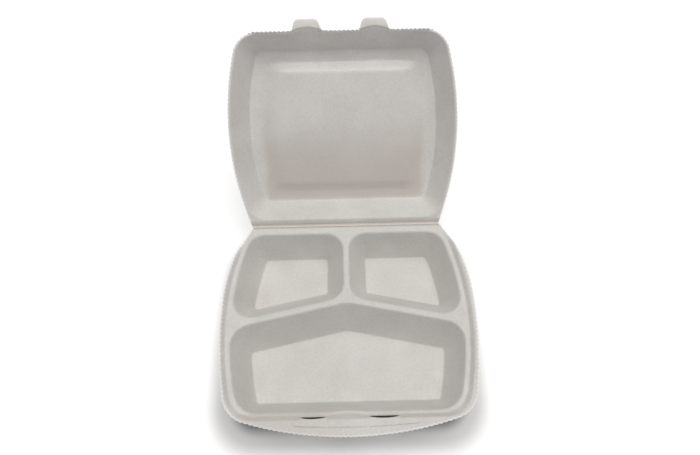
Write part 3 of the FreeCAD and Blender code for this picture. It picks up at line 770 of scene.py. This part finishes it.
def slit_side(x, at, height, level, share, run):
    """Draws the rows apart, each side of a slit in half a lens, and gives their heights."""
    for middle, half, gape in SLITS:
        lens = math.sqrt(arch(x, middle, half))
        if lens > 0 and share == 0 and level >= LOCK_LEVEL:
            top = STEP_LEVELS[-1]
            lock = mix(FLAP_LEVEL, SLIT_START + gape, lens)
            at = top - (top - level) * (top - lock) / (top - LOCK_LEVEL)
            height = mix(soft_ramp(at, run), STEP_RISE - LOCK_SLOPE * (top - at), lens)
        elif lens > 0 and share == 0 and level > 0:
            at = mix(at, SLIT_START * level / FLAP_LEVEL, lens)
            height = mix(height, -FLAP_DROP * (level / FLAP_LEVEL) ** 2, lens)
    return at, height


# %% The crease and the pressed lines
CREASE, CREASE_WIDTH, CREASE_DEPTH = 0.45, 0.028, 0.75  # two shares of the lip, and a depth
CREASE_STARTS, CREASE_ENDS = (-50, -44), (56, 62)
LINES, LINE_WIDTH, LINE_DEPTH = (-46.6, -18.0, 15.6, 44.0), 0.7, 0.6  # at the slits' ends


def bell(distance, width):
    """1 at a line, and next to nothing at two widths from it."""
    return math.exp(-((distance / width) ** 2))


def pressed_lines(x, level, share):
    """How deep the sheet is pressed in at a place of the front."""
    depth = 0.0
    if share > 0:
        line = bell(share - CREASE, CREASE_WIDTH) * smooth_step(*CREASE_STARTS, x)
        depth += CREASE_DEPTH * line * (1 - smooth_step(*CREASE_ENDS, x))
    if level > 2 and share < CREASE:
        depth += sum(LINE_DEPTH * bell(x - line_x, LINE_WIDTH) for line_x in LINES) * smooth_step(
            2, 3.5, level)
    return depth


# %% Lay the band of the tray
FEET_SHIFT, SHIFT_ENDS = 2.4, (8, 22)  # by the hinge the flange is narrow, so its feet move in


def tray_mark(row, point):
    """Marks the two sides of each slit, so that the faces between them can be found."""
    beside = any(abs(point.x - middle) < half - 0.4 for middle, half, _ in SLITS)
    if beside and row < len(STEP_LEVELS) and point.y > STEP_FOOT - 3:
        return {FLAP_LEVEL: FLAP_SIDE, LOCK_LEVEL: LOCK_SIDE}.get(STEP_LEVELS[row])
    return None


tray_feet = feet(tray_edge, rim_outline(-BAND_INSET, STEP_FOOT - BAND_INSET))
for foot in tray_feet:
    foot.x -= math.copysign(FEET_SHIFT * (1 - smooth_step(*SHIFT_ENDS, foot.y)), foot.x)
bands = [(level, 0.0) for level in STEP_LEVELS] + [(STEP_LEVELS[-1], s) for s in LIP_SHARES]
tray_rows = [[step_point(foot, cut, level, share) for foot, cut in zip(tray_feet, tray_edge)]
             for level, share in bands]
tray_band = lay_band("tray_shell", tray_rows, on_tray, tray_mark)

# %% [markdown]
# ## Joining a half of the sheet
# The band, the hollows and the flat ledge between them become one sheet. Vertex by vertex, "place"
# says what bounds the ledge, and a straight edge closes it along the hinge. Those edges are
# filled. Fill can leave a hole beside a long straight run that lies square to the axes, so the
# sheet is turned a little first, and back afterwards. Then Solidify gives the sheet its thickness
# on the outside, and a small bevel softens the cut edges, as foam springs back behind a die.


# %% Join the parts of a half
REAR_CUTS, TOUCHING = 60, 1e-6  # into how many the hinge's edge is cut, and metres


def select_where(piece, kind, wanted):
    """Selects, in edit mode, what a test picks out; the test is also given the layers."""
    bpy.ops.mesh.select_mode(type=kind)
    bpy.ops.mesh.select_all(action="DESELECT")
    mesh = bmesh.from_edit_mesh(piece.data)
    parts = {"VERT": mesh.verts, "EDGE": mesh.edges, "FACE": mesh.faces}[kind]
    picked = [part for part in parts if wanted(part, mesh.verts.layers)]
    for part in picked:
        part.select = True
    bmesh.update_edit_mesh(piece.data)
    print(piece.name, kind, "picked:", len(picked))


def join_half(band, hollows, rear_corners):
    """Joins a band and its hollows, their mouths marked, and closes them along the hinge."""
    for hollow in hollows:
        place = hollow.data.attributes["place"].data
        mouth = max(item.value for item in place) + 1
        for i, item in enumerate(place):
            item.value = LEDGE_EDGE if i < mouth else INSIDE
    bpy.ops.object.select_all(action="DESELECT")
    for piece in [*hollows, band]:
        piece.select_set(True)
    bpy.context.view_layer.objects.active = band
    bpy.ops.object.join()
    with edit_mode():
        select_where(band, "VERT", lambda vertex, _: min(
            (vertex.co - corner).length for corner in rear_corners) < TOUCHING)
        bpy.ops.mesh.edge_face_add()
        bpy.ops.mesh.subdivide(number_cuts=REAR_CUTS)


# %% Fill the ledge
FILL_TURN = 0.35  # radians
ON_LINE, DOUBLES = 0.001, 0.002  # millimetres


def off_line(point, ends):
    """How far a point lies from the line through two others."""
    along = (ends[1] - ends[0]).normalized()
    return (point - ends[0]).cross(along).length


def close_sheet(band, hollows, rear_corners):
    """Makes the band and the hollows one sheet, with the flat ledge between them."""
    join_half(band, hollows, rear_corners)
    aside = Matrix.Rotation(FILL_TURN, 4, "Z") @ Matrix.Scale(1 / MM, 4)
    band.data.transform(aside)
    rear = [aside @ corner for corner in rear_corners]

    def bounds_ledge(edge, layers):
        marked = all(vertex[layers.int["place"]] == LEDGE_EDGE for vertex in edge.verts)
        return not edge.is_manifold and (
            marked or all(off_line(vertex.co, rear) < ON_LINE for vertex in edge.verts))

    with edit_mode():
        select_where(band, "EDGE", bounds_ledge)
        bpy.ops.mesh.fill(use_beauty=True)
        bpy.ops.mesh.select_all(action="SELECT")
        bpy.ops.mesh.remove_doubles(threshold=DOUBLES)
        bpy.ops.mesh.normals_make_consistent(inside=False)
    band.data.transform(aside.inverted())


tray_corners = [on_tray(Vector((p.x, p.y, 0))) for p in (tray_edge[0], tray_edge[-1])]
close_sheet(tray_band, hollows, tray_corners)


# %% Give the sheet its thickness
SHARP, SMOOTH = math.radians(50), math.radians(38)
AT_CUT, AT_REAR = 0.0001, 0.0004  # metres


def keep_inside_cut(piece, count):
    """Draws in what Solidify pushed out past the cut, since a die cuts straight down."""
    points = piece.data.vertices
    rooms = piece.data.attributes["from_cut"].data
    marks = piece.data.attributes["place"].data
    for i in range(count):
        over = points[i + count].co.xy - points[i].co.xy
        room = rooms[i].value
        if over.length > room and marks[i].value not in (FLAP_SIDE, LOCK_SIDE):
            points[i + count].co.xy = points[i].co.xy + over * room / over.length


def thicken(piece, gauge, rear, round_off):
    """Solidify downwards, then a bevel on the cut edges, but not where the hinge strip joins."""
    if sum(face.normal.z * face.area for face in piece.data.polygons) < 0:
        with edit_mode():
            bpy.ops.mesh.flip_normals()
    count = len(piece.data.vertices)
    wall = piece.modifiers.new("wall", "SOLIDIFY")
    wall.thickness = gauge * MM
    wall.offset = -1
    bpy.ops.object.modifier_apply(modifier="wall")
    print(piece.name, "walls double", count, "points:", len(piece.data.vertices) == 2 * count)
    keep_inside_cut(piece, count)

    def cut_edge(edge, layers):
        sharp = edge.is_manifold and edge.calc_face_angle() > SHARP
        at_cut = all(vertex[layers.float["from_cut"]] < AT_CUT for vertex in edge.verts)
        return sharp and at_cut and not all(abs(v.co.y - rear) < AT_REAR for v in edge.verts)

    with edit_mode():
        select_where(piece, "EDGE", cut_edge)
        bpy.ops.mesh.bevel(offset=round_off * MM, segments=2, affect="EDGES", clamp_overlap=True)
    bpy.ops.object.select_all(action="DESELECT")
    piece.select_set(True)
    bpy.ops.object.shade_smooth_by_angle(angle=SMOOTH)
    print(piece.name, len(piece.data.polygons), "faces")


# %% Cut the slits and thicken the tray
def open_slits(piece):
    """Deletes the faces that lie between the marked sides of the slits."""
    def in_slit(face, layers):
        sides = sorted(vertex[layers.int["place"]] for vertex in face.verts)
        return sides == [LOCK_SIDE, LOCK_SIDE, FLAP_SIDE, FLAP_SIDE]

    with edit_mode():
        select_where(piece, "FACE", in_slit)
        bpy.ops.mesh.delete(type="FACE")


open_slits(tray_band)
thicken(tray_band, TRAY_GAUGE, tray_corners[0].y, round_off=0.3)

# %% [markdown]
# ## The lid
# The lid is the other half of the sheet: a shallower hollow with a panel, and a narrow rim with
# two tabs at its front. It is modelled laid out flat behind the tray, where it is drawn just as the
# tray is, and then swung up about the hinge axis to where it rests, 133 degrees open.

# %% The lid's hollow
LID_SEAM, LID_FRONT = 6.2, 186.3
RIM, FRONT_RIM = 3.3, 2.1  # from the ledge's outline to the lid's mouth, and in front
LID_COUNTS = (50, 44, 180, 44)
MOUTH_BACK, BACK_LEAN, LID_SIDE_LEAN, FRONT_LEAN = 7.0, 13.2, 13.6, 12.9
LID_CORNER, LID_CORNER_LEAN = 21.0, 13.0
TABS, TAB_ROOT = (-31.0, 31.0), 27.4  # their middles, and a tab's width at its root
ROOT_ARCH, ROOT_ARCH_HALF = 3.4, 12.9


def root_arch(x):
    """How far the lid's mouth runs out into the tabs."""
    return ROOT_ARCH * sum(arch(x, middle, ROOT_ARCH_HALF) for middle in TABS) ** 0.7


def lid_hollow(grow, lean):
    """The lid's hollow; its mouth runs out a little into each tab."""
    outer = grow - RIM - LID_SIDE_LEAN * lean
    front = LID_FRONT - FRONT_RIM + grow - FRONT_LEAN * lean
    back = MOUTH_BACK + BACK_LEAN * lean - grow
    corner = LID_CORNER - LID_CORNER_LEAN * lean + grow
    runs = [Straight(0, back, 0), side(outer), Straight(0, front, 180), side(outer, -1)]
    points = closed_outline(runs, [corner] * 4, LID_COUNTS)
    for point in points:
        if point.y > front - 0.01:
            point.y += root_arch(point.x) * max(0.0, 1 - lean * 2.2)
    return points


# %% The lid's panel
PANEL_BACK, PANEL_FRONT = 20.2, 171.3  # where the walls' feet end and the panel starts
PANEL_SIDE = -RIM - LID_SIDE_LEAN
PANEL_INSETS = (4, 8, *range(10, 21), 23, 27, 32, 38, 44, 50, 57, 64, 71)
FIELD_RISE, CROWN, CROWN_PLACE = 3.0, 2.4, (95.7, 62)  # its middle and half length
FIELD_SIDES, FIELD_ENDS = (7, 32), (10, 20.5)  # from the panel's foot: where the field rises


def panel_insets(point):
    """How far a point of the panel is from its foot, along the lid and across it."""
    along = 20 < point.y < 172
    reach = on_bow(side(PANEL_SIDE), point.y, 1).x - abs(point.x) if along else 0.0
    return min(point.y - PANEL_BACK, PANEL_FRONT - point.y), reach


def panel_height(point):
    """The panel's field is raised, with plain slopes at its ends and faint ones at its sides."""
    end, reach = panel_insets(point)
    slope = mix(smooth_step(*FIELD_ENDS, end), min(1.0, max(0.0, end - 10.5) / 9.5), 0.6)
    field = FIELD_RISE * slope + CROWN * arch(point.y, *CROWN_PLACE)
    wave = 0.2 * noise.noise(Vector((point.x, point.y, 5)) * 0.03)
    return field * smooth_step(*FIELD_SIDES, reach) + wave


def lid_floor(rings):
    """The panel: a border, a soft slope up to a raised field, and the field, which is crowned."""
    for inset in PANEL_INSETS:
        corner = min(8.0 + min(inset, 10) * 0.4, 74.5 - inset)
        sides = [side(PANEL_SIDE - inset, hand) for hand in (1, -1)]
        runs = [Straight(0, PANEL_BACK + inset, 0), sides[0],
                Straight(0, PANEL_FRONT - inset, 180), sides[1]]
        points = closed_outline(runs, [corner] * 4, LID_COUNTS)
        rings.append([Vector((p.x, p.y, panel_height(p) - LID_DEPTH)) for p in points])
    return rings


# %% The tabs
TAB_REACH, TAB_ROUND = 10.0, 5.0
TAB_TIP = (9.6, -11.3)  # the tip's corners, right and left of a tab's middle
TAB_SIDE_STEPS, TAB_TIP_STEPS = 7, 20


def soft_corner(before, corner, after):
    """A tab's rounded corner: its centre, and where it starts and ends."""
    back, ahead = (before - corner).normalized(), (after - corner).normalized()
    half = back.angle(ahead) / 2
    reach = TAB_ROUND / math.tan(half)
    centre = corner + (back + ahead).normalized() * TAB_ROUND / math.sin(half)
    return centre, corner + back * reach, corner + ahead * reach


def between(start, end, steps):
    """Points on a straight line, without its ends."""
    return [start.lerp(end, i / steps) for i in range(1, steps)]


def tab_points(roots, middle):
    """A tab's outline from its right root round its tip to its left root, without the roots."""
    tips = [Vector((middle + tip, LID_FRONT + TAB_REACH)) for tip in TAB_TIP]
    right, left = soft_corner(roots[0], *tips), soft_corner(*tips, roots[1])
    return [*between(roots[0], right[1], TAB_SIDE_STEPS), *walk_arc(*right, TAB_SIDE_STEPS),
            *between(right[2], left[1], TAB_TIP_STEPS), *walk_arc(*left, TAB_SIDE_STEPS),
            *between(left[2], roots[1], TAB_SIDE_STEPS)]


# %% The lid's cut edge
LID_TRIM = -0.7  # from the ledge's outline out to the lid's cut
PLAIN_BY_TAB = 2.0


def lid_cut():
    """The lid's outer edge, from the hinge on the right, round the front, to the left."""
    front = Straight(0, LID_FRONT, 180)
    right, left = side(LID_TRIM), side(LID_TRIM, -1)
    radius = LEDGE_CORNER + LID_TRIM
    corner_right = corner_between(right, front, radius)
    corner_left = corner_between(front, left, radius)
    points = toothed_walk(right, on_bow(right, LID_SEAM, 1), corner_right[1], before=PLAIN_END)
    points += toothed_corner(corner_right, radius)
    start = corner_right[2]
    for middle in (TABS[1], TABS[0]):
        roots = [Vector((middle + hand * TAB_ROOT / 2, LID_FRONT)) for hand in (1, -1)]
        points += toothed_walk(front, start, roots[0], after=PLAIN_BY_TAB)
        points += tab_points(roots, middle)
        start = roots[1]
    points += toothed_walk(front, start, corner_left[1], before=PLAIN_BY_TAB)
    points += toothed_corner(corner_left, radius)
    points += toothed_walk(left, corner_left[2], on_bow(left, LID_SEAM, -1), after=PLAIN_END)
    return spaced(points)


# %% Place a point on the lid
TURN_IN, TURN_IN_RUN, TURN_BACK = 2.75, 13.5, 1.3  # how deep, and over what length, to and fro
TAB_CURL = 0.011


def on_lid(point):
    """A lid point, in metres, with the lid laid flat behind the tray; its front edge turns in."""
    mouth = LID_FRONT - FRONT_RIM + root_arch(point.x) + 0.8
    dip = TURN_IN * max(0.0, min((point.y - mouth + TURN_IN_RUN) / TURN_IN_RUN,
                                 (mouth + TURN_BACK - point.y) / TURN_BACK))
    return Vector((point.x, HINGE.y / MM + point.y, LEDGE_HEIGHT + point.z - dip)) * MM


def rim_point(spot):
    """A point of the rim or a tab; the tabs curl slightly towards the outside."""
    out = max(0.0, spot.y - LID_FRONT)
    return Vector((*spot, -TAB_CURL * out * out))


# %% Lay out the lid
RIM_SHARES = (0.0, 0.12, 0.3, 0.65, 1.0)
LID_TURN, PANEL_TURN = (0.7, 1.3), (1.2, 1.2)  # across and down
lid_edge = lid_cut()
lid_feet = feet(lid_edge, rim_outline(-2.1, LID_FRONT - 1.15))
for foot in lid_feet:
    if foot.y > LID_FRONT - 1.2:
        foot.y += root_arch(foot.x)
lid_rows = [[rim_point(foot.lerp(cut, share)) for foot, cut in zip(lid_feet, lid_edge)]
            for share in RIM_SHARES]
lid_band = lay_band("lid_shell", lid_rows, on_lid)
lid_rings = lid_floor(hollow_rings(lid_hollow, LID_DEPTH, LID_TURN, PANEL_TURN))
lid_bowl = extrude_rings("lid_bowl", lid_rings, on_lid)
lid_corners = [on_lid(Vector((p.x, p.y, 0))) for p in (lid_edge[0], lid_edge[-1])]
close_sheet(lid_band, [lid_bowl], lid_corners)
thicken(lid_band, LID_GAUGE, lid_corners[0].y, round_off=0.25)

# %% [markdown]
# ## Where the foam is greyer
# The mould squeezes the lid's panel, which is greyer towards the hinge, partly from that press and
# partly as painted shade. The tray's ledge, step and lip are darker at the front and more to the
# left, and that is painted shade. The hinge's groove is grey, pressed foam with painted shade in
# it. Values on the vertices say where, since they follow the shape and need no unwrapping. Each
# rule below takes a place and gives two values: how far it is greyed, and its sheen.


# %% Write the tones
def tint(piece, tones):
    """Writes on every vertex how far the foam is greyed, where it is pressed and where shade is painted, and
    how much it shines.
    """
    values = [tones(vertex.co / MM) for vertex in piece.data.vertices]
    for i, name in enumerate(("pressed", "sheen")):
        write_values(piece, name, [value[i] for value in values])
    print(piece.name, "pressed up to", round(max(value[0] for value in values), 2))


# %% The panel and the front of the tray
PANEL_GREY_AND_SHADE = (0.62, 0.14)  # painted shade on the pressed tone near the hinge, and further up the lid
LEDGE_SHADE, STEP_SHADE = 0.25, 0.35  # painted shade on the front edge of the ledge, and on the step's face
LEFT_SHADE, LIP_SHADE = 0.35, 0.28  # more painted shade on the ledge, and on the lip, towards the left


def panel_tone(point):
    """The panel is greyest near the hinge, partly its pressed tone and partly painted shade, and shines a
    little.
    """
    s = point.y - HINGE.y / MM
    end, reach = panel_insets(Vector((point.x, s)))
    start = mix(0, 7, smooth_step(25, 60, s))
    field = smooth_step(-1, 5, end) * smooth_step(start, start + 10, reach)
    inside = smooth_step(-1, 3, min(end, reach)) * (point.z < LEDGE_HEIGHT - 15)
    # Painted shade: the grey is strongest near the hinge, on the lower part of the open lid.
    return field * mix(*PANEL_GREY_AND_SHADE, smooth_step(55, 112, s)), inside


def tray_painted_shade(point):
    """Painted shade: the ledge and the step are darker at the front, and on the left the lip is too."""
    s = HINGE.y / MM - point.y
    # Painted shade, stronger towards the left, away from the lamp.
    left = 1 - smooth_step(-50, 25, point.x)
    face = mix(LEDGE_SHADE + LEFT_SHADE * left, STEP_SHADE, smooth_step(183.4, 184.4, s))
    face = mix(face * smooth_step(180, 182.2, s), LIP_SHADE * left, smooth_step(186.6, 187.6, s))
    return face * (1 - smooth_step(80, 100, abs(point.x))), 0.0


tint(lid_band, panel_tone)
tint(tray_band, tray_painted_shade)

# %% Swing the lid up
OPEN_TILT = math.radians(47.0)
swing = Matrix.Translation(HINGE) @ Matrix.Rotation(OPEN_TILT, 4, "X") @ Matrix.Translation(-HINGE)
lid_band.data.transform(swing)
print("lid box", [[round(c[i], 4) for i in range(3)] for c in lid_band.bound_box][::6])

# %% [markdown]
# ## The hinge
# Along the hinge the sheet is pressed thin, so that it folds. The press leaves a groove on the
# tray's side and a fine bead in it, and beside them the lid's edge curls forward. This strip is the
# only place that bends, so it is a piece of its own.

# %% The cross-section
# Each point is how far from the axis it lies along its half of the sheet, and how high.
TRAY_SIDE = ((4.6, 0.0), (4.0, -0.06), (3.4, -0.16), (2.8, -0.34), (2.3, -0.58), (1.95, -0.85),
             (1.7, -1.25), (1.45, -1.6), (1.2, -1.3))
BEAD = ((1.0, -0.8), (0.75, -0.48), (0.4, -0.34), (0.05, -0.4), (-0.25, -0.62), (-0.5, -0.95))
LID_SIDE = ((0.1, -1.45), (0.45, -1.7), (0.8, -1.58), (1.3, -1.34), (2.0, -1.04), (2.8, -0.75),
            (3.6, -0.5), (4.4, -0.28), (5.1, -0.12), (5.7, -0.03), (6.2, 0.0))
TRAY_BACK = ((0.4, -2.4), (1.4, -2.45), (2.6, -2.42), (3.6, -2.42), (4.6, -TRAY_GAUGE))
LID_BACK = ((6.2, -LID_GAUGE), (5.0, -2.05), (3.6, -2.3), (2.2, -2.6), (1.0, -2.85))


AXIS_RISE = 0.15  # the hinge axis lies this far above the ledge


def lid_at_rest(along, up):
    """Across (y) and up (z) in millimetres, from the hinge axis, of a point of the resting lid."""
    c, s = math.cos(OPEN_TILT), math.sin(OPEN_TILT)
    return along * c - (up - AXIS_RISE) * s, along * s + (up - AXIS_RISE) * c


def hinge_section(wave):
    """The strip's closed section, as (y, z) from the axis; wave lifts its bead a little."""
    section = [(-along, up - AXIS_RISE) for along, up in TRAY_SIDE]
    section += [(-along, up - AXIS_RISE + wave) for along, up in BEAD]
    section += [lid_at_rest(*point) for point in LID_SIDE + LID_BACK]
    section += [(-along, up - AXIS_RISE) for along, up in TRAY_BACK]
    return section


# %% The strip's two ends
END_BLEND = 1.5  # over this, its end runs from the lid's width out to the tray's


def strip_ends(y):
    """How far the strip reaches to the left and the right at a place across the hinge."""
    out = min(LID_SEAM, max(0.0, y / math.cos(OPEN_TILT)))
    lid = [on_bow(side(LID_TRIM, hand), out, hand).x for hand in (-1, 1)]
    if y >= 0:
        return lid
    s = min(SEAM, -y)
    tray = [on_bow(flank(FLANGE_RADII[0], hand), s, hand).x for hand in (-1, 1)]
    return [mix(lid[i], tray[i], min(1.0, s / END_BLEND)) for i in (0, 1)]


# %% The section along the hinge
STATIONS, STRIP_SMOOTH = 120, math.radians(60)
LONG_WAVE, SHORT_WAVE = (0.14, 38, 2), (0.05, 150, 7)  # height, how often, and which wave


def station_points(share):
    """The section at a share of the way along the hinge, in metres."""
    wave = sum(height * noise.noise(Vector((share * often, which, 0)))
               for height, often, which in (LONG_WAVE, SHORT_WAVE))
    points = []
    for y, z in hinge_section(wave):
        point = HINGE + Vector((0, y, z)) * MM
        point.x = mix(*strip_ends(y), share) * MM
        points.append(point)
    return points


# %% Extrude the strip along the hinge
stations = [station_points(share) for share in shares(STATIONS)]
hinge_strip = extrude_rings("hinge_strip", stations, Vector, fill="NGON")
with edit_mode():
    bpy.ops.mesh.normals_make_consistent(inside=False)
bpy.ops.object.shade_smooth_by_angle(angle=STRIP_SMOOTH)


# %% The tone of the strip
BEAD_BACK, BEAD_FRONT, BEAD_FOOT = -1.15, 0.6, -1.05  # across the hinge, and up from the axis


def hinge_tone(point):
    """The bead is white and shines; on both sides the groove is grey, pressed foam with painted shade in it,
    and fades out.
    """
    across, up = (point - HINGE / MM).yz
    if across < BEAD_BACK:
        # Painted shade in the groove, over the grey of the pressed foam.
        return 0.6 * (1 - smooth_step(1.6, 4.4, -across)), 0.3
    if across < BEAD_FRONT and up > BEAD_FOOT:
        return 0.0, 1.0
    return 0.75 * (1 - smooth_step(0.5, 4.2, across)), 0.3


tint(hinge_strip, hinge_tone)

# %% [markdown]
# ## Finish and motion
# Each piece gets its foam, rides on the CAD body that it belongs to and stands for that body's
# plain CAD solid. The strip follows the tray in front of the pressed line and the lid behind it.

# %% Materials
for piece, foam in ((tray_band, FOAM), (lid_band, LID_FOAM), (hinge_strip, FOAM)):
    piece.data.materials.clear()
    piece.data.materials.append(foam)
    piece.data.attributes.remove(piece.data.attributes["place"])
    print(piece.name, "is made of", foam.name)

# %% Ride, replace and blend
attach(tray_band, "tray")
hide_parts("tray")
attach(lid_band, "lid")
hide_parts("lid")
across_hinge = Vector((0, math.cos(OPEN_TILT / 2), math.sin(OPEN_TILT / 2)))
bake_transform(hinge_strip, "tray", "lid", start=HINGE - across_hinge * 1.2 * MM,
         end=HINGE + across_hinge * 5.2 * MM)
